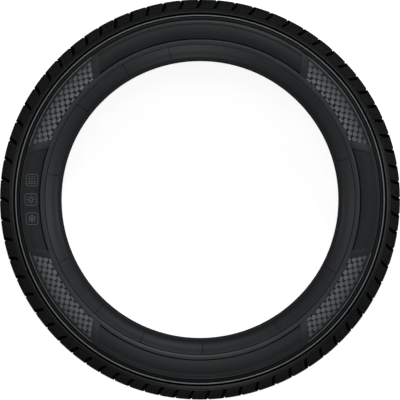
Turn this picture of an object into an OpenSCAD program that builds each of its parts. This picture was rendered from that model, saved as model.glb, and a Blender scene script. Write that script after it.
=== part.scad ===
// Radial road tyre for an 18 inch rim, moulded in one piece.
// It lies flat: the axle runs along Z, and the outer sidewall faces +Z.
// Places round the tyre are clock angles in degrees, from +Y towards +X as the outer side is seen.

/* [Overall size] */
// Diameter over the tread
outer_d = 660; // [640:1:700]
// Width over the sidewalls at their widest
section_w = 225; // [215:1:240]
// Diameter of the rim seat that the beads sit on
rim_d = 462; // [450:1:470]
// Distance between the outer faces of the two beads
bead_spread = 190.5; // [180:0.5:200]

/* [Casing] */
// Thickness of the crown under the tread grooves
crown_t = 8.5; // [6:0.5:12]
// Thickness of the sidewall
side_t = 8.5; // [6:0.5:10]
// Thickness of the bead from its outer to its inner face
bead_t = 14.5; // [12:0.5:18]
// Width of the bead's base from heel to toe
base_w = 17; // [15:0.5:20]
// Length of the straight seat in that base
seat_l = 7; // [5:0.5:8]
// How far the toe reaches in below the seat
toe_drop = 1.7; // [0.5:0.1:2.5]
// Radius of the heel
heel_r = 4.5; // [3:0.5:5]
// Height of the flat outer face of the bead above the seat
bead_h = 12; // [9:0.5:13]
// Height of the top of the hollow for the rim flange above the seat
flange_h = 24; // [22:0.5:25]
// Height of the widest place above the seat
widest_h = 50; // [46:0.5:54]

/* [Tread] */
// Radius of the crown across the tread
crown_r = 1200; // [900:10:2000]
// Distance from the middle plane to the start of the rounded shoulder
shoulder_at = 80; // [78:0.5:84]
// Radius of the shoulder
shoulder_r = 24; // [22:0.5:26]
// Angle where the shoulder ends, from the tread towards the side
shoulder_end = 60; // [55:1:65]
// Depth of the grooves that run round the tread
tread_depth = 8.5; // [7:0.1:9.5]
// Width of those grooves
groove_w = 9; // [6:0.5:10]
// Distance of the inner pair of grooves from the middle plane
groove_in = 18.5; // [14:0.5:22]
// Distance of the outer pair of grooves from the middle plane
groove_out = 51; // [46:0.5:56]
// Number of pitches round each shoulder
pitches = 70; // [50:1:76]
// Width of a cross slot
slot_w = 5; // [3:0.1:6]
// Width of a cross slot at its tail on the shoulder
tail_w = 1.6; // [1:0.1:3]
// Sideways sweep of that tail
tail_sweep = 5.6; // [0:0.1:7]
// Depth of a cross slot
slot_depth = 7.4; // [5:0.1:8]
// Width of a notch in the ribs beside the middle
notch_w = 3; // [2:0.1:4]
// Length of a notch across the tread
notch_l = 13; // [8:0.5:16]
// Depth of a notch
notch_depth = 7.4; // [3:0.1:8]
// Slant of a notch
notch_slant = 25; // [0:1:35]
// Height of a wear bar above the groove floor
wear_h = 1.6; // [1:0.1:2]
// Length of a wear bar round the tread
wear_l = 9; // [6:0.5:14]
// Number of places round the tyre that have wear bars
wear_places = 6; // [4:1:8]
// Clock angle of the first of them
wear_first = 7; // [0:1:30]

/* [Sidewall rings] */
// Height of the top ridge above the seat
ridge_at = 78.6; // [78:0.1:79.4]
// Width of the top ridge
ridge_w = 2.2; // [1.5:0.1:2.6]
// Width of the strip between the top ridge and the foot of the tread
foot_strip = 4.68; // [4:0.02:6]
// Width of the gap in the top ridge at each wear place
ridge_gap = 7; // [4:0.5:12]
// Height of the crest ring above the seat
crest_at = 72.8; // [72:0.1:73.4]
// Width of the crest ring
crest_w = 2; // [1:0.1:2.4]
// How far the crest ring stands out
crest_h = 1.2; // [0.5:0.1:2]
// Depth of the groove between the crest and the ridge
gutter_depth = 3; // [1:0.1:3.5]
// Width of that groove's floor
gutter_w = 1; // [0.6:0.1:1.6]
// Depth of the valley below the crest
valley_depth = 2.2; // [1:0.1:3]
// Width of that valley
valley_w = 4.6; // [3:0.1:5]
// Depth of the parting groove between the ridge and the shoulder
parting_depth = 1.6; // [0.5:0.1:2]
// Width of that groove's floor, and of the crest's top
parting_w = 0.6; // [0.4:0.1:0.8]
// Height of the flange band's lower edge above the seat
band_at = 26.4; // [26:0.1:28]
// Width of the flange band
band_w = 6; // [4:0.1:6.4]
// How far the flange band stands out
band_h = 0.8; // [0.4:0.1:1.5]
// Depth of the fitting line under the flange band
line_depth = 1; // [0.5:0.1:1.5]
// Width of the fitting line's floor
line_w = 0.8; // [0.5:0.1:1.2]
// Width of the sloped edges of the valley, the band and the line
edge_w = 0.7; // [0.4:0.1:0.8]

/* [Sidewall fields] */
// Height of the fields' lower edge above the seat
field_at = 33.4; // [33:0.1:36]
// Height of their upper edge
field_top = 60; // [57:0.1:60.5]
// Depth of the smooth fields
field_depth = 1; // [0.5:0.1:1.5]
// Half the angle of the long fields, at their upper edge
long_half = 36; // [30:0.5:36.5]
// Half the angle of the short fields, at their upper edge
short_half = 16.3; // [12:0.1:17]
// Lean of a field's ends from upper to lower edge, in degrees of turn
end_lean = 3; // [0:0.1:4]
// Height of the texture panels' upper edge above the seat
panel_top = 65; // [62:0.1:66]
// Half the angle of a texture panel, at its upper edge
panel_half = 17.6; // [12:0.1:18]
// Lean of a panel's ends
panel_lean = 4.2; // [0:0.1:5]
// Depth of the texture panels' floor
panel_depth = 1.2; // [0.6:0.1:1.6]
// Spacing of the pads along a row
pad_pitch = 12.9; // [12:0.1:16]
// Spacing of the rows of pads
pad_row = 5.7; // [5.4:0.1:7]
// Side of a pad
pad_w = 6.2; // [4:0.1:7]
// Least distance of a pad from the panel's edge
pad_edge = 0.4; // [0.2:0.1:2]
// Distance of the first row's middle from the panel's lower edge
pad_first = 0.6; // [0:0.1:2]
// How much lower each further row of pads is
pad_fade = 0.2; // [0:0.05:0.2]
// Number of rows of pads
pad_rows = 4; // [1:1:5]

/* [Hidden] */
$fn = 144;
over = 10;
outer_r = outer_d/2;
rim_r = rim_d/2;
half_w = section_w/2;
bead_z = bead_spread/2;
toe_z = bead_z - base_w;

// Crown: an arc across the tread, then the rounded shoulder that meets it smoothly.
function crown(z) = outer_r - crown_r + sqrt(crown_r*crown_r - z*z);
shoulder_a = asin(shoulder_at/crown_r);
shoulder_c = [crown(shoulder_at) - shoulder_r*cos(shoulder_a), shoulder_at - shoulder_r*sin(shoulder_a)];
function shoulder(a) = shoulder_c + shoulder_r*[cos(a), sin(a)];
foot = shoulder(shoulder_end);
shoulder_steps = 4;

// The sidewall's heights are drawn for one real tyre, and stretch to fit between the seat and the foot.
ridge_hi = ridge_at + ridge_w/2;
ridge_lo = ridge_at - ridge_w/2;
drawn_h = ridge_hi + foot_strip;
tall = (foot[0] - rim_r)/drawn_h;
function above(h) = rim_r + h*tall;

// Outer face of the sidewall at a radius: two parabolas that meet at the widest place.
flange_in = 5;
widest_r = above(widest_h);
flange_top = [above(flange_h), half_w - flange_in];
function side(r) = r > widest_r
    ? half_w - (half_w - foot[1])*pow((r - widest_r)/(foot[0] - widest_r), 2)
    : half_w - (half_w - flange_top[1])*pow((widest_r - r)/(widest_r - flange_top[0]), 2);
function on_side(h, rise=0) = [above(h), side(above(h)) + rise];
function reversed(l) = [for (i=[len(l)-1:-1:0]) l[i]];
function mirrored(l) = [for (p=reversed(l)) [p[0], -p[1]]];
function arc(c, r, a0, a1, n) = [for (i=[0:n]) let(a=a0 + (a1-a0)*i/n) c + r*[cos(a), sin(a)]];

// Half of the section from the crown down the outside to the toe.
groove_floor_w = groove_w - 2;
function groove(z) = [
    [crown(z - groove_w/2), z - groove_w/2],
    [crown(z) - tread_depth, z - groove_floor_w/2],
    [crown(z) - tread_depth, z + groove_floor_w/2],
    [crown(z + groove_w/2), z + groove_w/2]];

// Rings from the top down, each by its height above the seat.
parting_at = ridge_hi + foot_strip/2;
gutter_at = (ridge_lo + crest_at + crest_w/2)/2;
valley_hi = crest_at - crest_w/2 - edge_w;
valley_lo = valley_hi - valley_w;
band_top = band_at + band_w;
line_hi = band_at - edge_w/2;
line_lo = line_hi - line_w;
parting = [on_side(parting_at + parting_w/2, -parting_depth),
    on_side(parting_at - parting_w/2, -parting_depth)];
ridge = [on_side(ridge_hi), on_side(ridge_lo)];
gutter = [on_side(gutter_at + gutter_w/2, -gutter_depth), on_side(gutter_at - gutter_w/2, -gutter_depth)];
crest = [on_side(crest_at + crest_w/2), on_side(crest_at + parting_w/2, crest_h),
    on_side(crest_at - parting_w/2, crest_h), on_side(crest_at - crest_w/2)];
valley = [on_side(valley_hi, -valley_depth), on_side(valley_lo, -valley_depth), on_side(valley_lo - edge_w)];
wall = [for (h=[(panel_top + widest_h)/2, widest_h, (widest_h + field_at)/2]) on_side(h)];
band = [on_side(band_top), on_side(band_top - edge_w, band_h), on_side(band_at + edge_w, band_h),
    on_side(band_at)];
line = [on_side(line_hi, -line_depth), on_side(line_lo, -line_depth), on_side(line_lo - edge_w)];

// The hollow for the rim flange curves from under the fitting line to the bead.
hollow_corner = [above(bead_h + 5), bead_z + 2.5];
hollow_start = on_side(line_lo - 2*edge_w);
bead_top = [above(bead_h), bead_z];
flange = [for (t=[0:0.34:0.7]) let(u=1-t) u*u*hollow_start + 2*u*t*hollow_corner + t*t*bead_top];
heel = arc([rim_r + heel_r*tall, bead_z - heel_r*tall], heel_r*tall, 90, 180, 3);
toe = [[rim_r, bead_z - heel_r*tall - seat_l], [rim_r - toe_drop, toe_z]];
outside = concat([[outer_r, 0]], groove(groove_in), groove(groove_out), [[crown(shoulder_at), shoulder_at]],
    [for (i=[1:shoulder_steps]) shoulder(shoulder_a + (shoulder_end - shoulder_a)*i/shoulder_steps)],
    parting, ridge, gutter, crest, valley, wall, band, line, flange, [bead_top], heel, toe);

// The inside, from the toe up over the bead, the sidewall and the shoulder to the middle of the crown.
inner_r = outer_r - tread_depth - crown_t;
bead_in = bead_z - bead_t;
bead_steps = [[0.8, -1.6], [5, -0.4], [bead_h, 2], [(bead_h + flange_h)/2, 9]];
shoulder_in = [8, 12];
crown_bend = 3;
inside = concat(
    [for (i=[0:3]) [above(bead_steps[i][0]), (i < 2 ? min(toe_z, bead_in) : bead_in) + bead_steps[i][1]]],
    [on_side(flange_h + 7, -side_t), on_side(widest_h, -side_t), on_side(panel_top - 2, -side_t)],
    [[inner_r - shoulder_in[0]*tall, shoulder_at + shoulder_in[1]], [inner_r - crown_bend*tall, shoulder_at],
     [inner_r, groove_out]]);
half = concat(outside, inside);

// The casing with its tread ribs and sidewall rings, all from one section.
module casing() rotate_extrude() polygon(concat(half, mirrored([for (i=[1:len(half)-1]) half[i]])));

// Puts a thing that is made at 12 o'clock at a clock angle.
module at_clock(a) rotate([0, 0, -a]) children();

// Turns a thing over to the inner sidewall, so that both sides look alike when each is faced.
module other_side() rotate([0, 180, 0]) children();

// Three slow waves stretch and squeeze the pitches, so that the tread hums on no single note.
pitch_waves = [[1, 2.4, 74], [2, 1.2, 137], [3, 1.5, -68]];
function clock(i, turn=-1.9) = let(u = 360*i/pitches)
    turn + u + pitch_waves[0][1]*sin(u + pitch_waves[0][2])
    + pitch_waves[1][1]*sin(2*u + pitch_waves[1][2]) + pitch_waves[2][1]*sin(3*u + pitch_waves[2][2]);

// A cross slot runs straight out of the outer groove, then bends into a tail that runs out on the shoulder.
slot_rise = 1.5;
slot_floor = crown(shoulder_at) - slot_depth + slot_rise;
slot_bend = [slot_floor, shoulder_at + 4];
slot_end = foot - [0.5, -0.8];
tail_l = norm(slot_end - slot_bend);
tail_a = atan2(slot_bend[0] - slot_end[0], slot_end[1] - slot_bend[1]);
tail_steps = [[-4, 0, 0], [0.4, 0.12, 0], [1, 1, 1]];
tail_outline = [for (s=tail_steps) let(along = s[0] < 0 ? s[0] : s[0]*(tail_l + 1))
    [-tail_sweep*s[1], along, slot_w + (tail_w - slot_w)*s[2]]];
module slot() {
    translate([-slot_w/2, slot_floor, groove_out - groove_w/4])
        cube([slot_w, 3*over, slot_bend[1] - groove_out + groove_w/4]);
    translate([0, slot_bend[0], slot_bend[1]]) rotate([90 - tail_a, 0, 0]) mirror([0, 0, 1])
        linear_extrude(3*over) polygon(concat([for (s=tail_outline) [s[0] - s[2]/2, s[1]]],
            [for (s=reversed(tail_outline)) [s[0] + s[2]/2, s[1]]]));
}

// A slanted notch in the outer flank of a rib beside the middle.
module notch() translate([0, 0, groove_out - groove_w/2 + 1]) rotate([0, -notch_slant, 0])
    translate([-notch_w/2, crown(groove_out - groove_w) - notch_depth, -notch_l])
        cube([notch_w, 2*over, notch_l]);

// The pattern of one side: slots on the shoulder, notches on the rib, and gaps in the top ridge.
gap_depth = 1;
module side_cuts(shift) {
    for (i=[0:pitches-1]) at_clock(clock(i + shift)) slot();
    for (i=[0:2:pitches-1]) at_clock(clock(i + shift)) notch();
    for (k=[0:wear_places-1]) at_clock(wear_first + 360*k/wear_places)
        translate([-ridge_gap/2, above(ridge_at - ridge_w), side(above(ridge_at)) - gap_depth])
            cube([ridge_gap, 2*ridge_w*tall, over]);
}

// A recess that follows the sidewall, between two heights and two leaning ends.
module recess(lo, hi, depth, mid, half_a, lean) intersection() {
    rotate_extrude() polygon(concat([for (h=[lo, widest_h, hi]) on_side(h, -depth)],
        [[above(hi), half_w + over], [above(lo), half_w + over]]));
    at_clock(mid) translate([0, 0, half_w - 2*over]) linear_extrude(3*over) polygon([for (p=[
        [0, 0], [above(lo), -half_a - lean], [above(hi), -half_a], [outer_d, -half_a], [outer_d, 0],
        [outer_d, half_a], [above(hi), half_a], [above(lo), half_a + lean]]) p[0]*[sin(p[1]), cos(p[1])]]);
}
panel_mid = (long_half + 90 - short_half)/2;
panel_mids = [panel_mid, 180 - panel_mid, 180 + panel_mid, -panel_mid];
module fields() {
    for (mid=[0, 180]) recess(field_at, field_top, field_depth, mid, long_half, end_lean);
    for (mid=[90, 270]) recess(field_at, field_top, field_depth, mid, short_half, end_lean);
    for (mid=panel_mids) recess(field_at, panel_top, panel_depth, mid, panel_half, -panel_lean);
}

// Square pads stand on edge in straight staggered rows, and only whole ones are kept. Each row is a
// little lower than the row inside it, so that the pattern fades towards the tread.
field_lo = above(field_at);
panel_hi = above(panel_top);
pad_side = pad_w*tall;
function panel_a(r) = panel_half - panel_lean*(panel_hi - r)/(panel_hi - field_lo);
function fits(x, y) = let(r = norm([x, y]), d = pad_side/sqrt(2) + pad_edge*tall)
    r - d > field_lo && r + d < panel_hi && abs(atan(x/y)) + asin(d/r) < panel_a(r);
pads_half = ceil(panel_hi*sin(panel_half)/(pad_pitch*tall));
module pads(mid) for (row=[0:pad_rows-1]) for (k=[-pads_half:pads_half]) {
    x = (k + 0.5*(row%2))*pad_pitch*tall;
    y = field_lo + (pad_first + row*pad_row)*tall;
    r = norm([x, y]);
    if (fits(x, y)) at_clock(mid) translate([x, y, side(r) - side_t/2]) rotate([0, 0, 45])
        linear_extrude(side_t/2 - pad_fade*max(row - 1, 0)) square(pad_side, center=true);
}

// Wear bars cross the floors of the four grooves.
wear_foot = 2;
module wear_bars() for (k=[0:wear_places-1]) at_clock(wear_first + 360*k/wear_places)
    for (z=[-groove_out, -groove_in, groove_in, groove_out])
        translate([-wear_l/2, crown(z) - tread_depth - wear_foot, z - groove_w/2])
            cube([wear_l, wear_foot + wear_h, groove_w]);

module tyre() color([0.15, 0.15, 0.16]) {
    difference() {
        casing();
        side_cuts(0);
        other_side() side_cuts(0.5);
        fields();
        other_side() fields();
    }
    wear_bars();
    for (mid=panel_mids) pads(mid);
    other_side() for (mid=panel_mids) pads(mid);
}

tyre();
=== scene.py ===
from bisect import bisect_left
from math import asin, cos, hypot, pi, radians, sin, sqrt, tan

import bmesh
import bpy
from mathutils import Matrix, Vector


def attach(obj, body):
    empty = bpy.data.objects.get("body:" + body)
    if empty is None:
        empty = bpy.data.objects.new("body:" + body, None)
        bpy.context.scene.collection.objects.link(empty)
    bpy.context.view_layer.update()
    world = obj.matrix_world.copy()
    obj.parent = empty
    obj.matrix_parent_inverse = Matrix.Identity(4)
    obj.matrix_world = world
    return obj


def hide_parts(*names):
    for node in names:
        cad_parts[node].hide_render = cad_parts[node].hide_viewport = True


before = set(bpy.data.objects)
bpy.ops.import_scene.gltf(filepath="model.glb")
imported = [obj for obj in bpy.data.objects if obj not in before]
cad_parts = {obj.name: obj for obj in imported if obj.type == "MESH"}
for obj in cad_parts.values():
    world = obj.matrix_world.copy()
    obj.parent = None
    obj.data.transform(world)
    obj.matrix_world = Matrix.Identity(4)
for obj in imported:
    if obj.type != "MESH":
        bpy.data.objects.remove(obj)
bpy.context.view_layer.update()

# A radial road tyre, moulded in one piece. All sizes are millimetres in the frame of the CAD part: the axle
# is Z, the outer side faces +Z, and clock angles run in degrees from +Y towards +X.
MM = 0.001
STEPS = 288              # facets of the rings that run right round

# Overall sizes
OUTER_R = 329.95         # over the tread
HALF_W = 111.6           # half the width over the bare sidewalls; plates and bands stand on it
RIM_R = 231.0            # seat of the beads on the rim
SEAT_END = 83.0          # where the straight part of the bead's base gives way to the toe
TOE = (229.3, 78.25)     # radius and z of the innermost edge
FLANGE_R = 254.6         # top of the hollow for the rim flange
WIDEST_R = 281.0
SIDE_DROP = 5.0          # how far the bare sidewall falls from there to the flange hollow
SIDE_T = 8.5             # thickness of the sidewall
INNER_R = 313.0          # inside of the crown

# Tread. A tyre that holds no air sinks a little in the middle, so the shoulder blocks stand highest
RIB_R = 328.7
RIB_CURVE = 6000.0       # radius across the ribs
BLOCK_TOP = 60.0         # where the shoulder blocks reach the full radius
BLOCK_CURVE = 1200.0     # radius across them
SHOULDER_AT = 74.5       # where the rounded shoulder starts
SHOULDER_R = 29.0
SHOULDER_END = radians(60)
TREAD_DEPTH = 8.5
RIB_EDGE = 0.6           # rounding of the ribs' edges
RIB_ROOT = 1.0           # how far the ribs reach into the casing
GROOVE_W = 9.0
GROOVE_IN = 18.5
GROOVE_OUT = 51.0
PITCHES = 70
SLOT_W = 6.0
SLOT_END = 98.0          # where its tail ends in a steep wall
SLOT_LEAN_AT = 79.0      # nearer the middle than this a slot leans back
SLOT_LEAN = 4.5          # as far as this at its inner end
SLOT_BEND = 84.0         # where a slot starts to bend into its tail
SLOT_FLOOR = [(321.4, 58.0), (321.4, 68.0), (320.6, 78.0), (317.5, 87.0), (314.2, 94.5)]
TAIL_W = 4.0
TAIL_SWEEP = 5.4
NOTCH_W = 3.0
NOTCH_L = 12.0
NOTCH_LEAN = 5.5
WEAR_H = 1.6
WEAR_L = 9.0
WEAR_PLACES = 6
WEAR_FIRST = 7.0         # clock angle of the first wear place
SIPE_W = 0.45
SIPE_DEPTH = 1.0
SIPE_SHARES = (0.25, 0.5, 0.75)   # where the sipes stand along a block
BLOCK_EDGE = 0.5
BLOCK_ROOT = 9.6         # depth of the blocks' roots
ROOT_RISE = 7.0          # and how much shallower they are at the foot

# Rings and fields of the sidewall, by radius
RIDGE_R = (307.7, 309.5)
RIDGE_GAP = 7.0
FIELD_DEPTH = 1.0
PANEL_R = (264.4, 294.4)
PANEL_HALF = (13.4, 0.131)        # half the angle of a panel at its inner border, and what each mm outwards adds
PLATE_R = (256.4, 295.4)
PLATE_HALF = (15.6, 0.125)        # the same for the plate round it, from PLATE_FROM
PLATE_FROM = 257.0
PLATE_CORNER = 5.0
PLATE_T = 5.0
PLATE_RISE = 0.45
PANEL_DEPTH = 2.1        # at the inner border, and half of it at the outer one
SHADED_FLOOR_R = 286.0     # the sunk floor is painted with shade, near black, within this radius
PANEL_MIDS = (55.0, 125.0, 235.0, 305.0)

# Three slow waves stretch and squeeze the pitches of the tread: turns round the tyre, size and phase in degrees
PITCH_WAVES = ((1, 2.4, 74), (2, 1.2, 137), (3, 1.5, -68))
PITCH_START = -1.75


def srgb(hex_colour):
    """Turns an sRGB hex colour into the linear colour that a shader takes."""
    parts = [int(hex_colour[i:i + 2], 16) / 255 for i in (1, 3, 5)]
    return [c / 12.92 if c <= 0.04045 else ((c + 0.055) / 1.055) ** 2.4 for c in parts] + [1.0]


def add(tree, kind, settings=None, links=None):
    """Adds one node, sets its properties and input values, and links inputs to other nodes' outputs."""
    node = tree.nodes.new(kind)
    for key, value in (settings or {}).items():
        if isinstance(key, str) and hasattr(node, key):
            setattr(node, key, value)
        else:
            node.inputs[key].default_value = value
    for key, (source, output) in (links or {}).items():
        tree.links.new(source.outputs[output], node.inputs[key])
    return node


# The section of the tyre

def crown(z):
    """Radius of the ribs at a distance from the middle."""
    return RIB_R - RIB_CURVE + sqrt(RIB_CURVE ** 2 - z ** 2)


SHOULDER_A = asin((SHOULDER_AT - BLOCK_TOP) / BLOCK_CURVE)
SHOULDER_C = (OUTER_R - BLOCK_CURVE + (BLOCK_CURVE - SHOULDER_R) * cos(SHOULDER_A),
              BLOCK_TOP + (BLOCK_CURVE - SHOULDER_R) * sin(SHOULDER_A))
FOOT = (SHOULDER_C[0] + SHOULDER_R * cos(SHOULDER_END), SHOULDER_C[1] + SHOULDER_R * sin(SHOULDER_END))
FOOT_S = SHOULDER_AT + SHOULDER_R * (SHOULDER_END - SHOULDER_A)   # path length across the blocks to their foot


def block_path(s, rise=0.0):
    """Point (radius, z) of the blocks at a path length from the middle, raised along the surface's normal."""
    if s <= SHOULDER_AT:
        a, c, r = (s - BLOCK_TOP) / BLOCK_CURVE, (OUTER_R - BLOCK_CURVE, BLOCK_TOP), BLOCK_CURVE
    else:
        a, c, r = SHOULDER_A + (s - SHOULDER_AT) / SHOULDER_R, SHOULDER_C, SHOULDER_R
    return c[0] + (r + rise) * cos(a), c[1] + (r + rise) * sin(a)


def side(r):
    """Height of the bare sidewall at a radius: two parabolas that meet at the widest place."""
    if r > WIDEST_R:
        return HALF_W - (HALF_W - FOOT[1]) * ((r - WIDEST_R) / (FOOT[0] - WIDEST_R)) ** 2
    return HALF_W - SIDE_DROP * ((WIDEST_R - r) / (WIDEST_R - FLANGE_R)) ** 2


# Relief of the outer sidewall from the foot of the blocks inwards: radius, and rise above the bare sidewall
RELIEF = [
    (314.6, -0.3), (313.9, -0.2), (313.5, -0.5), (313.1, -1.2), (312.0, -1.2), (311.5, -0.5),   # parting groove
    (311.1, 0.0), (307.6, -0.2), (307.5, -1.2), (307.3, -6.0), (305.3, -6.0), (304.9, -1.2),    # ridge, gutter
    (304.4, -0.4), (304.0, 0.0), (302.6, 0.0), (302.2, -0.3), (301.8, -0.9),                    # foot of the crest
    (301.2, -1.9), (299.3, -2.2), (296.9, -2.1), (296.1, -1.2), (295.5, -0.2), (295.0, 0.0),    # valley
    (294.2, 0.0), (292.9, 0.0), (292.7, 0.4), (292.4, 0.5), (292.0, 0.5), (291.8, 0.0),         # double line
    (291.3, 0.0), (291.1, 0.4), (290.7, 0.5), (290.4, 0.4), (290.2, -0.8), (289.8, -1.0),
    (286.0, -1.0), (281.0, -1.0), (276.0, -1.0), (271.0, -1.0), (267.0, -1.0),                  # field
    (265.3, -1.0), (264.9, -1.7), (263.9, -1.8), (263.5, -0.8), (262.9, 0.2),                   # edge line
    (262.5, 0.5), (260.2, 0.8), (260.0, 0.4), (259.7, 0.5), (259.5, 0.9), (256.9, 1.3),         # band in two steps
    (256.2, 1.0), (255.8, -0.2), (255.2, -0.4), (254.8, -0.2), (FLANGE_R, 0.0)]                 # fitting line

# From the top of the flange hollow the bead rolls over in one soft curve down to the heel
BEAD_ROLL = [(252.9, 105.4), (251.0, 103.5), (249.0, 101.7), (247.0, 100.1), (245.0, 98.7), (243.0, 97.5),
             (241.0, 96.4), (239.0, 95.2), (237.2, 93.9), (235.6, 92.5), (234.2, 90.9), (233.0, 89.1),
             (232.0, 87.0), (231.3, 84.8)]
SIDE_LINE = [(r, side(r) + rise) for r, rise in RELIEF] + BEAD_ROLL


def surface(r):
    """Height of the moulded outer side at a radius, with all its rings."""
    for (r0, z0), (r1, z1) in zip(SIDE_LINE, SIDE_LINE[1:]):
        if r1 <= r <= r0:
            return z1 + (z0 - z1) * (r - r1) / (r0 - r1)
    return SIDE_LINE[-1][1]


# Finish of the outer side between two radii, as a place in the casing's list of materials; it is the bare
# sidewall's elsewhere. It reaches no deeper than FINISH_REACH, so the liner keeps the sidewall's rubber
SIDEWALL, FIELD, BEAD, GROOVE, BAND = range(5)
FINISH_REACH = 3.0
# GROOVE paints shade, near black, into the fitting line, the edge line, the valley and the gutter
FINISHES = [(229.0, 254.8, BEAD), (255.0, 255.7, GROOVE), (255.7, 263.0, BAND), (263.8, 265.0, GROOVE),
            (265.0, 290.3, FIELD), (295.8, 302.0, GROOVE), (304.8, 307.6, GROOVE), (309.3, 318.0, FIELD)]


def clock(i, shift):
    """Clock angle of a slot of the tread, in degrees."""
    turn = 360 * (i + shift) / PITCHES
    return PITCH_START + turn + sum(size * sin(radians(n * turn + phase)) for n, size, phase in PITCH_WAVES)


def polar(angle, r, z):
    """Point at a clock angle in degrees and a radius."""
    return Vector((r * sin(radians(angle)), r * cos(radians(angle)), z))


# Small tools for making pieces

def spun(points, start=0.0, turn=360.0, steps=STEPS):
    """Spins a closed loop of (radius, z) points about the axle; a part turn is closed by a face at each end."""
    bm = bmesh.new()
    verts = [bm.verts.new(polar(start, r, z)) for r, z in points]
    whole = turn == 360.0
    if whole:
        for pair in zip(verts, verts[1:] + verts[:1]):
            bm.edges.new(pair)
    else:
        bmesh.ops.contextual_create(bm, geom=verts)
    bmesh.ops.spin(bm, geom=bm.verts[:] + bm.edges[:] + bm.faces[:], cent=(0, 0, 0), axis=(0, 0, -1),
                   angle=radians(turn), steps=steps, use_merge=whole)
    return bm


def sheet(columns, rows):
    """A flat grid with its columns at the given x and its rows at the given y."""
    bm = bmesh.new()
    nx, ny = len(columns) - 1, len(rows) - 1
    bmesh.ops.create_grid(bm, x_segments=nx, y_segments=ny, size=1)
    for v in bm.verts:
        v.co.x, v.co.y = columns[round((v.co.x + 1) / 2 * nx)], rows[round((v.co.y + 1) / 2 * ny)]
    return bm


def new_verts(result):
    return [g for g in result["geom"] if isinstance(g, bmesh.types.BMVert)]


def thicken(bm):
    """Closes an open sheet with a copy of itself and walls; returns its top edges and the copy's points."""
    rim = [e for e in bm.edges if e.is_boundary]
    return rim, new_verts(bmesh.ops.extrude_face_region(bm, geom=bm.faces[:]))


def soften(bm, edges, width, segments=2):
    """Rounds moulded edges."""
    bmesh.ops.recalc_face_normals(bm, faces=bm.faces[:])
    bmesh.ops.bevel(bm, geom=edges, offset=width, offset_type="OFFSET", segments=segments, profile=0.5,
                    affect="EDGES", material=-1)


def join(parts):
    """One bmesh that holds several, which are freed."""
    whole = bmesh.new()
    for part in parts:
        mesh = bpy.data.meshes.new("part")
        part.to_mesh(mesh)
        part.free()
        whole.from_mesh(mesh)
        bpy.data.meshes.remove(mesh)
    return whole


def piece(name, bm, materials, sharp=35):
    """Makes a bmesh in millimetres an object that stands for the tyre and rides on it."""
    bmesh.ops.recalc_face_normals(bm, faces=bm.faces[:])
    bmesh.ops.scale(bm, vec=(MM, MM, MM), verts=bm.verts[:])
    mesh = bpy.data.meshes.new(name)
    bm.to_mesh(mesh)
    bm.free()
    mesh.shade_smooth()
    mesh.set_sharp_from_angle(angle=radians(sharp))
    for material in materials:
        mesh.materials.append(material)
    obj = bpy.data.objects.new(name, mesh)
    bpy.context.scene.collection.objects.link(obj)
    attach(obj, "root")
    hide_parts("tyre")


def both_sides(name, make, materials, sharp=35):
    """Makes the outer side's piece, and the inner side's turned over about Y with its tread half a pitch on.
    Every make takes that shift in pitches, and only the tread's pieces use it."""
    piece(name + "_outer", make(0.0), materials, sharp)
    inner = make(0.5)
    bmesh.ops.rotate(inner, cent=(0, 0, 0), matrix=Matrix.Rotation(pi, 3, "Y"), verts=inner.verts[:])
    piece(name + "_inner", inner, materials, sharp)


# Pieces

def casing():
    """The body under the tread: groove floors, sidewalls with their rings, beads and the smooth liner."""
    floor = [(crown(z) - TREAD_DEPTH, z) for z in (10.0, GROOVE_IN, 30.0, GROOVE_OUT - 5, GROOVE_OUT + 5)]
    base = [(RIM_R, SEAT_END), TOE, (229.9, 77.1), (231.8, 76.6)]
    liner = [(236.0, 77.9), (243.0, 82.6), (249.0, 90.0), (255.0, 96.6), (262.0, side(262) - SIDE_T),
             (272.0, side(272) - SIDE_T), (WIDEST_R, side(WIDEST_R) - SIDE_T), (288.0, side(288) - SIDE_T),
             (296.0, side(296) - SIDE_T), (302.0, 98.2), (307.0, 91.0), (310.2, 80.0), (312.2, 66.0),
             (INNER_R, 51.0)]
    half = floor + SLOT_FLOOR + SIDE_LINE + base + liner
    turned = [(r, -z) for r, z in reversed(half)]
    bm = spun([(RIB_R - TREAD_DEPTH, 0.0)] + half + [(INNER_R, 0.0)] + turned)
    for f in bm.faces:
        mid = f.calc_center_median()
        r = hypot(mid.x, mid.y)
        # Floors of the tread's grooves and slots get GROOVE: painted shade
        if r > INNER_R + 0.1 and abs(mid.z) < SLOT_END:
            f.material_index = GROOVE
        elif abs(mid.z) > surface(r) - FINISH_REACH:
            f.material_index = next((finish for low, high, finish in FINISHES if low < r < high), SIDEWALL)
    return bm


CREST_R = 303.2          # top of the polished ring
CREST_SECTION = ((303.9, -2.0), (303.9, 0.6), (303.6, 1.2), (303.3, 1.45),
                 (302.9, 1.45), (302.6, 1.2), (302.4, 0.6), (302.4, -2.0))


def crest(shift):
    """The thin polished ring below the gutter; its pale grey is a painted highlight."""
    return spun([(r, side(CREST_R) + rise) for r, rise in CREST_SECTION])


def middle_rib():
    """The plain rib round the middle of the tread."""
    w = GROOVE_IN - GROOVE_W / 2
    low = crown(w) - TREAD_DEPTH - RIB_ROOT
    top = [(crown(z) - drop, z) for z, drop in ((w, RIB_EDGE), (w - RIB_EDGE, 0), (w / 2, 0))]
    turned = [(r, -z) for r, z in reversed(top)]
    return spun([(low, w + RIB_EDGE)] + top + [(RIB_R, 0.0)] + turned + [(low, -w - RIB_EDGE)])


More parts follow.
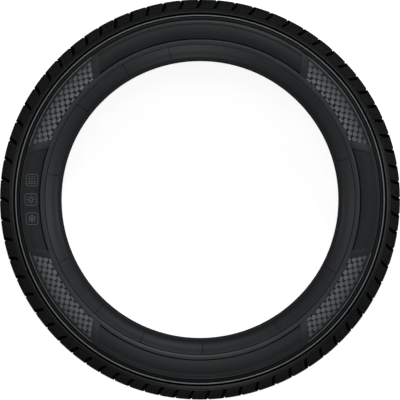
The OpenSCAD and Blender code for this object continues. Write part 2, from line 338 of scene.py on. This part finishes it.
def rib(shift):
    """The rib beside the middle, with a slanted notch in its outer flank at every second pitch."""
    inner, outer = GROOVE_IN + GROOVE_W / 2, GROOVE_OUT - GROOVE_W / 2
    degree = OUTER_R * radians(1)
    half = NOTCH_W / 2 / degree
    places = [clock(i, shift) for i in range(0, PITCHES, 2)] + [clock(0, shift) + 360]
    columns = []
    for here, after in zip(places, places[1:]):
        plain = after - here - 2 * half
        columns += [here - half] + [here + half + plain * k / 6 for k in range(6)]
    bm = sheet(columns + [places[-1] - half], [inner, outer - NOTCH_L, outer])
    deep = outer - NOTCH_L
    notches = []
    for f in bm.faces:
        mid = f.calc_center_median()
        if mid.y > deep and min(abs(mid.x - p) for p in places) < half / 2:
            notches.append(f)
    for v in bm.verts:
        near = min(abs(v.co.x - p) for p in places)
        if near < half * 1.1 and v.co.y <= deep + 0.1:
            v.co.x += (NOTCH_LEAN if v.co.y > inner + 0.1 else NOTCH_LEAN * 0.6) / degree
    bmesh.ops.delete(bm, geom=notches, context="FACES")
    for v in bm.verts:
        v.co = polar(v.co.x, crown(v.co.y), v.co.y)
    bmesh.ops.remove_doubles(bm, verts=bm.verts[:], dist=0.01)
    rim, lower = thicken(bm)
    for v in lower:
        r = hypot(v.co.x, v.co.y)
        v.co.xy *= (r - TREAD_DEPTH - RIB_ROOT) / r
    soften(bm, rim, RIB_EDGE)
    return bm


def blocks(shift):
    """The shoulder blocks of one side, cut apart by slots that bend into thin tails, with fine sipes."""
    rows = [GROOVE_OUT + GROOVE_W / 2, 60.0, 72.0, 79.0, 84.0, 88.0, 92.0, 95.5, 98.5, 101.0, 103.0, FOOT_S]
    degree = OUTER_R * radians(1)
    columns, places = [], [clock(i, shift) for i in range(PITCHES)] + [clock(0, shift) + 360]
    for here, after in zip(places, places[1:]):
        lo, hi = here + SLOT_W / 2 / degree, after - SLOT_W / 2 / degree
        columns.append(lo)
        for k, share in enumerate(SIPE_SHARES):
            mid = lo + (hi - lo) * (share + 0.05 * sin(7 * here + 2.4 * k))
            columns += [mid - SIPE_W / degree, mid, mid + SIPE_W / degree]
        columns.append(hi)
    bm = sheet(columns, rows)
    step = 2 + 3 * len(SIPE_SHARES)
    where = {v: bisect_left(columns, v.co.x - 0.001) for v in bm.verts}
    gaps = [f for f in bm.faces if {where[v] % step for v in f.verts} == {0, step - 1}]
    bmesh.ops.delete(bm, geom=gaps, context="FACES")
    for v in bm.verts:
        place, s = where[v] % step, v.co.y
        t = max(0.0, (s - SLOT_BEND) / (FOOT_S - SLOT_BEND))
        lean = max(0.0, (SLOT_LEAN_AT - s) / (SLOT_LEAN_AT - rows[0]))
        v.co.x -= (TAIL_SWEEP * t ** 2.8 + SLOT_LEAN * lean ** 1.4) / degree
        grow = (SLOT_W - TAIL_W) / 2 * t ** 8 / degree
        v.co.x += grow if place == step - 1 else -grow if place == 0 else 0
        if place not in (0, step - 1) and place % 3 == 2 and 60 <= s < 99:
            v.co.z = -SIPE_DEPTH
    rim, lower = thicken(bm)
    for v in lower:
        t = max(0.0, (v.co.y - SLOT_BEND) / (FOOT_S - SLOT_BEND))
        v.co.z = ROOT_RISE * t ** 4 - BLOCK_ROOT
    for v in bm.verts:
        v.co = polar(v.co.x, *block_path(v.co.y, v.co.z))
    # Walls and roots of the blocks, down the slots and sipes, get the second material: painted shade
    walls = set(lower)
    for f in bm.faces:
        f.material_index = int(any(v in walls for v in f.verts))
    soften(bm, rim, BLOCK_EDGE)
    return bm


def ridges(shift):
    """The thin ridge over the gutter, in six lengths with a gap at each wear place."""
    gap = RIDGE_GAP / (RIDGE_R[0] * radians(1))
    section = [(RIDGE_R[0], side(RIDGE_R[0]) - 1.0), (RIDGE_R[0] + 0.1, side(RIDGE_R[0]) + 0.3),
               (RIDGE_R[0] + 0.5, side(308.2) + 0.9), (RIDGE_R[1] - 0.5, side(309.0) + 0.8),
               (RIDGE_R[1] - 0.1, side(RIDGE_R[1]) + 0.1), (RIDGE_R[1], side(RIDGE_R[1]) - 1.0)]
    turn = 360 / WEAR_PLACES
    return join([spun(section, WEAR_FIRST + k * turn + gap / 2, turn - gap, STEPS // WEAR_PLACES)
                 for k in range(WEAR_PLACES)])


def plate_half(r):
    """Half the angle of a texture panel's plate at a radius, with a rounded inner corner."""
    into = min(PLATE_CORNER, max(0.0, PLATE_CORNER - (r - PLATE_R[0])))
    rounded = PLATE_CORNER - sqrt(PLATE_CORNER ** 2 - into ** 2)
    return PLATE_HALF[0] + PLATE_HALF[1] * (r - PLATE_FROM) - rounded / (r * radians(1))


def panel_half(r):
    """Half the angle of the sunk floor at a radius."""
    return PANEL_HALF[0] + PANEL_HALF[1] * (r - PANEL_R[0])


# A low lip runs along both ends of a plate: distance from the end, and rise above the plate
PLATE_LIP = ((0.0, 0.0), (0.4, 0.4), (1.1, 0.4), (1.5, 0.0))


def panel_depth(r):
    """Depth of the sunk floor below the bare sidewall; it rises outwards."""
    return PANEL_DEPTH * (1 - 0.5 * (r - PANEL_R[0]) / (PANEL_R[1] - PANEL_R[0]))


def plates(shift):
    """Four raised plates with a lip at each end and a sunk floor for the pads."""
    rows = [PLATE_R[0], 257.0, 258.4, 260.2, 262.0, PANEL_R[0], 269.0, 274.0, 279.0, 284.0, 289.0, 292.5,
            PANEL_R[1], PLATE_R[1]]
    steps = 18
    columns = ([k - 10 for k in range(4)] + [-1 + 2 * k / steps for k in range(steps + 1)]
               + [k + 7 for k in range(4)])
    parts = []
    for mid in PANEL_MIDS:
        bm = sheet(columns, rows)
        floor = [f for f in bm.faces if abs(f.calc_center_median().x) < 1
                 and PANEL_R[0] < f.calc_center_median().y < PANEL_R[1]]
        for v in bm.verts:
            share, r = v.co.x, v.co.y
            if abs(share) > 1.5:
                inset, rise = PLATE_LIP[10 - round(abs(share))]
                half = (plate_half(r) - inset / (r * radians(1))) * (1 if share > 0 else -1)
            else:
                half, rise = min(panel_half(r), plate_half(r) - 0.6) * share, 0.0
            v.co = polar(mid + half, r, side(r) + PLATE_RISE + rise)
        rim, lower = thicken(bm)
        bmesh.ops.translate(bm, verts=lower, vec=(0, 0, -PLATE_T))
        edges = {e for f in floor for e in f.edges}
        border = [e for e in edges if sum(f in floor for f in e.link_faces) == 1]
        sunk = set(new_verts(bmesh.ops.extrude_face_region(bm, geom=floor + list(edges))))
        for v in sunk:
            v.co.z -= PLATE_RISE + panel_depth(hypot(v.co.x, v.co.y))
        # The sunk floor between the pads gets the groove rubber within that radius: painted shade
        for f in bm.faces:
            mid_face = f.calc_center_median()
            inside = hypot(mid_face.x, mid_face.y) < SHADED_FLOOR_R
            f.material_index = int(inside and all(v in sunk for v in f.verts))
        soften(bm, [e for e in rim + border if e.is_valid], 0.4)
        parts.append(bm)
    return join(parts)


def panel_lips(shift):
    """The thin lip along the outer edge of each panel, painted pale as a highlight."""
    half = panel_half(PANEL_R[1]) + 0.4
    section = [(r, side(295) + rise) for r, rise in
               ((293.9, -3.0), (293.9, 0.6), (294.1, 1.0), (294.8, 1.0), (295.1, 0.6), (295.1, -3.0))]
    return join([spun(section, mid - half, 2 * half, 48) for mid in PANEL_MIDS])


PAD_PITCH = 12.95        # along a row
PAD_ROW = 5.7            # between rows
PAD_FIRST = 265.1        # distance of the first whole row from the axle
PAD_HALF = (4.8, 4.1)    # half its width along a row and across
PAD_TOP = 0.5            # level of the tops below the bare sidewall


def pad(x, y):
    """A domed pad, nearly round, with a faint dimple, on the floor of a panel."""
    bm = bmesh.new()
    bmesh.ops.create_circle(bm, cap_ends=True, segments=12, radius=1.0)
    for v in bm.verts:
        v.co.x, v.co.y = (half * abs(c) ** 0.88 * (1 if c > 0 else -1) for half, c in zip(PAD_HALF, v.co.xy))
    deep = panel_depth(hypot(x, y)) + 0.3
    _, top = thicken(bm)
    bmesh.ops.translate(bm, verts=top, vec=(0, 0, deep - PAD_TOP - 0.55))
    bmesh.ops.scale(bm, vec=(0.92, 0.92, 1), verts=top)
    cap = [f for f in bm.faces if all(v in top for v in f.verts)]
    bmesh.ops.inset_region(bm, faces=cap, thickness=0.8, depth=0.55)
    bmesh.ops.inset_region(bm, faces=cap, thickness=1.1, depth=-0.2)
    bmesh.ops.translate(bm, verts=bm.verts[:], vec=(x, y, side(hypot(x, y)) - deep))
    return bm


def pads(shift):
    """Staggered rows of pads on each panel, cut by its borders; their relief fades outwards."""
    parts = []
    for mid in PANEL_MIDS:
        group = []
        for row in range(-1, 7):
            y = PAD_FIRST + row * PAD_ROW
            for k in range(-8, 9):
                x = (k + 0.5 * (row % 2)) * PAD_PITCH
                r = hypot(x, y)
                if abs(x / y) < tan(radians(panel_half(r) + 1.0)) and PANEL_R[0] - 1.5 < r < PANEL_R[1] + 1.5:
                    group.append(pad(x, y))
        whole = join(group)
        for v in whole.verts:
            v.co.xy *= min(1.0, (PANEL_R[1] - 0.1) / hypot(v.co.x, v.co.y))
        turn = Matrix.Rotation(radians(-mid), 3, "Z")
        bmesh.ops.rotate(whole, cent=(0, 0, 0), matrix=turn, verts=whole.verts[:])
        parts.append(whole)
    return join(parts)


SERRATIONS = 720
SERRATION_R = (297.4, 299.3, 301.1)
SERRATION_H = 0.45


def serrations(shift):
    """Fine radial ribs on the floor of the valley."""
    step = 180 / SERRATIONS
    bm = sheet([k * step for k in range(2 * SERRATIONS)] + [360.0], SERRATION_R)
    for v in bm.verts:
        crest_up = SERRATION_H * (round(v.co.x / step) % 2)
        v.co = polar(v.co.x, v.co.y, side(v.co.y) - 2.0 + crest_up)
    bmesh.ops.remove_doubles(bm, verts=bm.verts[:], dist=0.01)
    _, lower = thicken(bm)
    bmesh.ops.translate(bm, verts=lower, vec=(0, 0, -1.0))
    return bm


def wear_bars():
    """Low bars across the four groove floors, at six places."""
    half = WEAR_L / 2 / (OUTER_R * radians(1))
    parts = []
    for k in range(WEAR_PLACES):
        mid = WEAR_FIRST + 360 * k / WEAR_PLACES
        for z in (-GROOVE_OUT, -GROOVE_IN, GROOVE_IN, GROOVE_OUT):
            bm = sheet([mid - half, mid, mid + half], [z - GROOVE_W / 2 - 0.3, z + GROOVE_W / 2 + 0.3])
            for v in bm.verts:
                v.co = polar(v.co.x, crown(v.co.y) - TREAD_DEPTH + WEAR_H, v.co.y)
            rim, lower = thicken(bm)
            for v in lower:
                v.co.xy *= 1 - 0.01
            soften(bm, rim, 0.4, 1)
            parts.append(bm)
    return join(parts)


SEAM_W = 0.7
SEAM_CLOCKS = (74.5, 118.3, 148.5, 179.0, 202.8, 222.8, 246.0, 279.5, 308.0, 330.2, 348.3)


def bead_seams(shift):
    """Thin radial lines where the segments of the mould met, from the bead up to the fitting line; their near
    black is painted shade.
    """
    rows = sorted(r for r, _ in BEAD_ROLL if r > 233) + [FLANGE_R, 255.4]
    parts = []
    for mid in SEAM_CLOCKS:
        bm = sheet([-SEAM_W / 2, SEAM_W / 2], rows)
        for v in bm.verts:
            v.co = polar(mid, v.co.y, surface(v.co.y) + 0.25) + polar(mid + 90, v.co.x, 0)
        rim, lower = thicken(bm)
        bmesh.ops.translate(bm, verts=lower, vec=(0, 0, -1))
        parts.append(bm)
    return join(parts)


ICON_CLOCKS = (263.5, 270.0, 276.6)
ICON_R = 278.3
ICON_SIDE = 20.0
LINE_W = 0.9


def bar(ax, ay, bx, by):
    """A straight moulded line between two points of an icon."""
    a, b = Vector((ax, ay, 0)), Vector((bx, by, 0))
    bm = bmesh.new()
    bmesh.ops.create_cube(bm, size=1)
    bmesh.ops.scale(bm, vec=((b - a).length + LINE_W, LINE_W, 1.2), verts=bm.verts[:])
    turn = Vector((1, 0, 0)).rotation_difference((b - a).normalized()).to_matrix()
    bmesh.ops.rotate(bm, cent=(0, 0, 0), matrix=turn, verts=bm.verts[:])
    bmesh.ops.translate(bm, verts=bm.verts[:], vec=(a + b) / 2)
    return bm


def ring(radius, x=0.0, y=0.0):
    """A round moulded line of an icon."""
    bm = spun([(radius - LINE_W / 2, -0.6), (radius + LINE_W / 2, -0.6), (radius + LINE_W / 2, 0.6),
               (radius - LINE_W / 2, 0.6)], steps=20)
    bmesh.ops.translate(bm, verts=bm.verts[:], vec=(x, y, 0))
    return bm


def icon_frame():
    """The rounded square outline of an icon."""
    bm = bmesh.new()
    bmesh.ops.create_grid(bm, x_segments=1, y_segments=1, size=ICON_SIDE / 2)
    bmesh.ops.bevel(bm, geom=bm.verts[:], offset=4.0, offset_type="OFFSET", segments=4, profile=0.5,
                    affect="VERTICES", material=-1)
    inner = bm.faces[:]
    bmesh.ops.inset_region(bm, faces=inner, thickness=LINE_W, use_boundary=True)
    bmesh.ops.delete(bm, geom=inner, context="FACES")
    _, lower = thicken(bm)
    bmesh.ops.translate(bm, verts=bm.verts[:], vec=(0, 0, 0.6))
    bmesh.ops.translate(bm, verts=lower, vec=(0, 0, -1.2))
    return bm


def snow():
    """Three crossing lines with short barbs."""
    lines = []
    for a in (90, 150, 210):
        x, y = cos(radians(a)), sin(radians(a))
        lines.append(bar(-6 * x, -6 * y, 6 * x, 6 * y))
        for end in (-4, 4):
            for lean in (60, -60):
                bx, by = cos(radians(a + lean)), sin(radians(a + lean))
                lines.append(bar(end * x, end * y, end * x + bx * end / 2, end * y + by * end / 2))
    return lines


def sun():
    """A ring with eight short rays."""
    rays = [(cos(radians(a)), sin(radians(a))) for a in range(0, 360, 45)]
    return [ring(2.8)] + [bar(4.4 * x, 4.4 * y, 6.6 * x, 6.6 * y) for x, y in rays]


def rain():
    """Three slanting strokes over two flat waves."""
    strokes = [bar(x, 1.0, x + 1.6, 6.0) for x in (-5.0, -0.8, 3.4)]
    crests = [(-6.5, 0), (-4.0, 1.2), (-1.3, 0), (1.3, 1.2), (4.0, 0), (6.5, 1.2)]
    waves = [bar(ax, ay - low, bx, by - low) for low in (3.0, 6.2)
             for (ax, ay), (bx, by) in zip(crests, crests[1:])]
    return strokes + waves


def icons(shift):
    """Three plain weather signs in rounded squares, upright on the field at 9 o'clock."""
    parts = []
    for mid, sign in zip(ICON_CLOCKS, (snow, sun, rain)):
        bm = join([icon_frame()] + sign())
        middle = polar(mid, ICON_R, 0)
        for v in bm.verts:
            v.co += middle
            v.co.z += side(hypot(v.co.x, v.co.y)) - FIELD_DEPTH
        parts.append(bm)
    return join(parts)


# Materials

def rubber(name, colour, bloom, roughness, gloss, marks, grain, painted_fade=None):
    """Vulcanised carbon-black rubber as it comes out of the mould: deep grey with a faint bloom of wax in soft
    patches, fine turned marks from the mould's ring, and a pebbled grain. A painted fade paints light or shade
    by radius: its colour, the radius in metres where it is full, and the one where it ends. 1.52 is rubber's
    usual IOR."""
    material = bpy.data.materials.new(name)
    material.use_nodes = True
    tree = material.node_tree
    tree.nodes.clear()
    place = add(tree, "ShaderNodeTexCoord")
    split = add(tree, "ShaderNodeSeparateXYZ", links={0: (place, "Object")})
    flat = add(tree, "ShaderNodeCombineXYZ", links={"X": (split, "X"), "Y": (split, "Y")})
    radius = add(tree, "ShaderNodeVectorMath", {"operation": "LENGTH"}, {0: (flat, 0)})
    profile = add(tree, "ShaderNodeCombineXYZ", links={"X": (radius, "Value"), "Y": (split, "Z")})
    # turned marks about 1.7 mm apart, coarser than the mould's real 0.3 mm so that they show at all
    turned = add(tree, "ShaderNodeTexNoise", {"Scale": 600.0, "Detail": 2.0, "Roughness": 0.6},
                 {"Vector": (profile, 0)})
    # pebbling of about 1 mm, and patches of bloom about 60 mm across
    pebble = add(tree, "ShaderNodeTexNoise", {"Scale": 1000.0, "Detail": 3.0, "Roughness": 0.65},
                 {"Vector": (place, "Object")})
    patches = add(tree, "ShaderNodeTexNoise", {"Scale": 16.0, "Detail": 4.0, "Roughness": 0.6},
                  {"Vector": (place, "Object")})
    spread = add(tree, "ShaderNodeMapRange", {"From Min": 0.35, "From Max": 0.7}, {"Value": (patches, "Fac")})
    tint = add(tree, "ShaderNodeMix", {"data_type": "RGBA", 6: srgb(colour), 7: srgb(bloom)}, {0: (spread, 0)})
    if painted_fade:
        shade, full, none = painted_fade
        # mask of the painted light or shade by radius
        near = add(tree, "ShaderNodeMapRange", {"From Min": full, "From Max": none}, {"Value": (radius, "Value")})
        tint = add(tree, "ShaderNodeMix", {"data_type": "RGBA", 6: srgb(shade)}, {0: (near, 0), 7: (tint, 2)})
    rough = add(tree, "ShaderNodeMapRange", {"To Min": roughness - 0.06, "To Max": roughness + 0.08},
                {"Value": (patches, "Fac")})
    ringed = add(tree, "ShaderNodeBump", {"Strength": marks, "Distance": 0.0002}, {"Height": (turned, "Fac")})
    bumped = add(tree, "ShaderNodeBump", {"Strength": grain, "Distance": 0.0002},
                 {"Height": (pebble, "Fac"), "Normal": (ringed, 0)})
    shader = add(tree, "ShaderNodeBsdfPrincipled", {"IOR": 1.52, "Specular IOR Level": gloss},
                 {"Base Color": (tint, 2), "Roughness": (rough, 0), "Normal": (bumped, 0)})
    add(tree, "ShaderNodeOutputMaterial", links={"Surface": (shader, 0)})
    return material


# As moulded: satin, with a soft sheen on the shoulder
sidewall_rubber = rubber("sidewall_rubber_satin", "#282b2e", "#313539", 0.5, 0.5, 0.25, 0.15)
# Moulded against polished steel: darkest and smoothest, a calm ground for the panels
field_rubber = rubber("field_rubber_polished_mould", "#13171a", "#1c2024", 0.5, 0.5, 0.3, 0.2)
# Pressed smooth by the bead ring; paler outside as painted light, and darker towards the toe as painted shade
# where the bead rolls over
bead_painted_shading = rubber("bead_smooth_painted_shading", "#393d40", "#414548", 0.5, 0.5, 0.25, 0.12, ("#282b2e", 0.238, 0.254))
# Nearly black and without shine: painted shade in grooves, slots, gaps and seams
groove_painted_shade = rubber("groove_dull_painted_shade", "#030303", "#050505", 0.9, 0.1, 0.0, 0.2)
# Finely ribbed and dull, in a darker grey that is painted shade among the ribs
serration_painted_shade = rubber("serration_dull_painted_shade", "#17191b", "#1c1e20", 0.6, 0.4, 0.0, 0.0)
# A paler satin: painted light on the raised band and the ridge
band_painted_light = rubber("band_satin_painted_light", "#3b3f42", "#44484b", 0.45, 0.5, 0.0, 0.15)
# Matt and a little warm, from the release agent
tread_rubber = rubber("tread_rubber_matt", "#222424", "#292a28", 0.75, 0.12, 0.0, 0.5)
# As moulded, a shade deeper than the bands
plate_rubber = rubber("plate_rubber_satin", "#25292c", "#2e3235", 0.5, 0.5, 0.0, 0.2)
# Glossy tops in a pale grey that is a painted highlight, painted brightest at the inner rows
pad_painted_highlight = rubber("pad_glossy_painted_highlight", "#4c5053", "#54585b", 0.3, 0.5, 0.0, 0.15, ("#84888c", 0.266, 0.292))
# A thin glossy edge whose pale grey is a painted highlight, drawing a bright line
lip_painted_highlight = rubber("lip_glossy_painted_highlight", "#777b7e", "#808487", 0.34, 0.5, 0.0, 0.0)
# The most polished ring; its pale grey is a painted highlight all round
crest_painted_highlight = rubber("crest_polished_painted_highlight", "#a6a9ac", "#b0b3b6", 0.3, 0.5, 0.0, 0.0)
# Raised lines in a pale satin grey
icon_rubber = rubber("icon_rubber_satin", "#6a6e71", "#727679", 0.4, 0.5, 0.0, 0.0)


def studio_white():
    """Matt white paper floor, lit evenly by its own glow so that it stays white under the tyre."""
    material = bpy.data.materials.new("white_paper_floor")
    material.use_nodes = True
    tree = material.node_tree
    tree.nodes.clear()
    paper = add(tree, "ShaderNodeBsdfPrincipled", {"Base Color": srgb("#fafafa"), "Roughness": 0.9,
                                                   "Emission Color": srgb("#ffffff"), "Emission Strength": 0.9})
    add(tree, "ShaderNodeOutputMaterial", links={"Surface": (paper, 0)})
    return material


# Making

piece("casing", casing(), [sidewall_rubber, field_rubber, bead_painted_shading, groove_painted_shade, band_painted_light])
piece("middle_rib", middle_rib(), [tread_rubber])
piece("wear_bars", wear_bars(), [tread_rubber])
both_sides("crest", crest, [crest_painted_highlight])
both_sides("rib", rib, [tread_rubber])
both_sides("shoulder_blocks", blocks, [tread_rubber, groove_painted_shade])
# The ridge wears the band's painted light
both_sides("top_ridge", ridges, [band_painted_light])
both_sides("serrations", serrations, [serration_painted_shade])
both_sides("panel_plates", plates, [plate_rubber, groove_painted_shade])
both_sides("panel_lips", panel_lips, [lip_painted_highlight])
both_sides("panel_pads", pads, [pad_painted_highlight], 50)
both_sides("bead_seams", bead_seams, [groove_painted_shade])
both_sides("icons", icons, [icon_rubber])

# Floor, lights and camera, in metres

FLOOR_Z = -0.1128        # just below the lower sidewall
floor_mesh = bpy.data.meshes.new("floor")
bm = bmesh.new()
bmesh.ops.create_grid(bm, x_segments=1, y_segments=1, size=40)
bmesh.ops.translate(bm, verts=bm.verts[:], vec=(0, 0, FLOOR_Z))
bm.to_mesh(floor_mesh)
bm.free()
floor_mesh.materials.append(studio_white())
floor = bpy.data.objects.new("floor", floor_mesh)
bpy.context.scene.collection.objects.link(floor)
floor.visible_diffuse = False
floor.visible_glossy = False


def softbox(name, place, target, size, watts):
    """A round studio softbox."""
    light = bpy.data.lights.new(name, "AREA")
    light.shape = "DISK"
    light.size = size
    light.energy = watts
    lamp = bpy.data.objects.new(name, light)
    lamp.location = place
    lamp.rotation_euler = (Vector(target) - Vector(place)).to_track_quat("-Z", "Y").to_euler()
    lamp.visible_camera = False
    bpy.context.scene.collection.objects.link(lamp)


softbox("key_above", (0.5, 2.6, 3.2), (0, 0, 0), 1.0, 40)
softbox("key_front", (0, 0.8, 4.4), (0, 0, 0), 1.2, 12.5)
softbox("fill_below", (0.3, -4.4, 1.2), (0, 0, 0), 1.4, 30)
softbox("fill_right", (3.9, 0.4, 0.9), (0, 0, 0), 1.4, 20)
softbox("fill_left", (-3.9, 0.4, 0.9), (0, 0, 0), 1.4, 14)

# The studio's walls are white behind the tyre, and throw little light on it
world = bpy.data.worlds.new("studio")
world.use_nodes = True
world.node_tree.nodes.clear()
path = add(world.node_tree, "ShaderNodeLightPath")
glow = add(world.node_tree, "ShaderNodeMapRange", {"To Min": 0.08, "To Max": 1.0},
           {"Value": (path, "Is Camera Ray")})
walls = add(world.node_tree, "ShaderNodeBackground", {"Color": srgb("#ffffff")}, {"Strength": (glow, 0)})
add(world.node_tree, "ShaderNodeOutputWorld", links={"Surface": (walls, 0)})
bpy.context.scene.world = world
bpy.context.scene.view_settings.view_transform = "Standard"

# The photograph is taken square on, from far away: 25 m, so that the tyre just fills the frame's width
CAMERA_FAR = 25.0
FRAME_WIDTH = 0.6613
camera_data = bpy.data.cameras.new("camera")
camera_data.sensor_width = 36.0
camera_data.lens = 36.0 * CAMERA_FAR / FRAME_WIDTH
camera = bpy.data.objects.new("camera", camera_data)
camera.location = (0.0, -0.0008, CAMERA_FAR)
bpy.context.scene.collection.objects.link(camera)
bpy.context.scene.camera = camera
